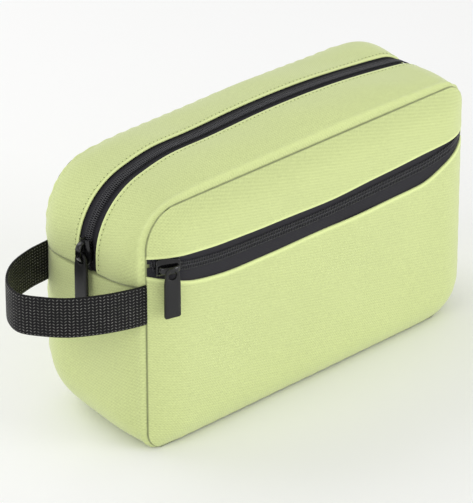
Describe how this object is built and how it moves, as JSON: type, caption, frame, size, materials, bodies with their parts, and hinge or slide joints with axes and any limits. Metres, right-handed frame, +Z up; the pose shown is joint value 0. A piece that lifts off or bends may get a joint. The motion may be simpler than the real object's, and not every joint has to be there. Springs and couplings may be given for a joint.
{
  "type": "toiletry bag",
  "caption": "Soft boxy toiletry bag with a zipped arched mouth, a zipped front pocket and a webbing loop handle at one end.",
  "frame": {"origin": "centre of the flat base that the bag stands on, midway between the two face seams", "axes": "+Z up; the face with the zip pocket looks along -Y; the loop handle is at the -X end"},
  "size_m": [0.3268, 0.1055, 0.165],
  "materials": {
    "lime_fabric": "matt woven polyester oxford, lime green",
    "lining_fabric": "thin plain-woven polyester lining, grey",
    "binding_tape": "ribbed seam binding tape, black",
    "zip_tape": "twill-woven polyester zip tape, black",
    "zip_coil": "nylon coil, black",
    "slider_metal": "glossy black enamelled zinc",
    "puller_metal": "satin black enamelled zinc",
    "webbing": "ribbed polypropylene webbing, black"
  },
  "bodies": {
    "root": {"back_panel": "lime_fabric", "base_band": "lime_fabric", "front_yoke": "lime_fabric", "pocket_panel": "lime_fabric", "pocket_inner_wall": "lining_fabric", "back_lining": "lining_fabric", "band_lining": "lining_fabric", "front_seam_binding": "binding_tape", "back_seam_binding": "binding_tape", "front_zip_strip_left": "lime_fabric", "front_zip_strip_right": "lime_fabric", "back_zip_strip_left": "lime_fabric", "back_zip_strip_right": "lime_fabric", "front_zip_tape_left": "zip_tape", "front_zip_tape_right": "zip_tape", "back_zip_tape_left": "zip_tape", "back_zip_tape_right": "zip_tape", "front_zip_coil_left": "zip_coil", "front_zip_coil_right": "zip_coil", "back_zip_coil_left": "zip_coil", "back_zip_coil_right": "zip_coil", "pocket_zip_tape_upper": "zip_tape", "pocket_zip_tape_lower": "zip_tape", "pocket_zip_coil_upper": "zip_coil", "pocket_zip_coil_lower": "zip_coil"},
    "front_flap": {"front_zip_strip_flap": "lime_fabric", "front_zip_tape_flap": "zip_tape", "front_zip_coil_flap": "zip_coil"},
    "back_flap": {"back_zip_strip_flap": "lime_fabric", "back_zip_tape_flap": "zip_tape", "back_zip_coil_flap": "zip_coil"},
    "main_slider": {"main_slider_body": "slider_metal", "main_slider_cap": "slider_metal"},
    "main_puller": {"main_puller": "puller_metal"},
    "pocket_slider": {"pocket_slider_body": "slider_metal", "pocket_slider_cap": "slider_metal"},
    "pocket_puller": {"pocket_puller": "puller_metal"},
    "handle": {"handle_webbing": "webbing"}
  },
  "joints": [
    {"name": "front_flap_fold", "type": "hinge", "parent": "root", "child": "front_flap", "pos_m": [0, -0.0405, 0.151], "axis": [1, 0, 0], "range_deg": [0, 95]},
    {"name": "back_flap_fold", "type": "hinge", "parent": "root", "child": "back_flap", "pos_m": [0, 0.0405, 0.151], "axis": [-1, 0, 0], "range_deg": [0, 95]},
    {"name": "main_slider_travel", "type": "hinge", "parent": "root", "child": "main_slider", "pos_m": [-0.098, 0, 0.1164], "axis": [0, 1, 0], "range_deg": [0, 78]},
    {"name": "main_puller_lift", "type": "hinge", "parent": "main_slider", "child": "main_puller", "pos_m": [-0.1406, 0, 0.1164], "axis": [0, 1, 0], "range_deg": [0, 150]},
    {"name": "pocket_slider_travel", "type": "slide", "parent": "root", "child": "pocket_slider", "axis": [1, 0, 0], "range_m": [0, 0.2325]},
    {"name": "pocket_puller_swing", "type": "hinge", "parent": "pocket_slider", "child": "pocket_puller", "pos_m": [-0.1185, -0.0531, 0.111], "axis": [0, -1, 0], "range_deg": [-25, 80]},
    {"name": "handle_lift", "type": "hinge", "parent": "root", "child": "handle", "pos_m": [-0.1452, 0, 0.0962], "axis": [0, 1, 0], "range_deg": [-30, 45], "stiffness_Nm_per_rad": 0.06}
  ]
}
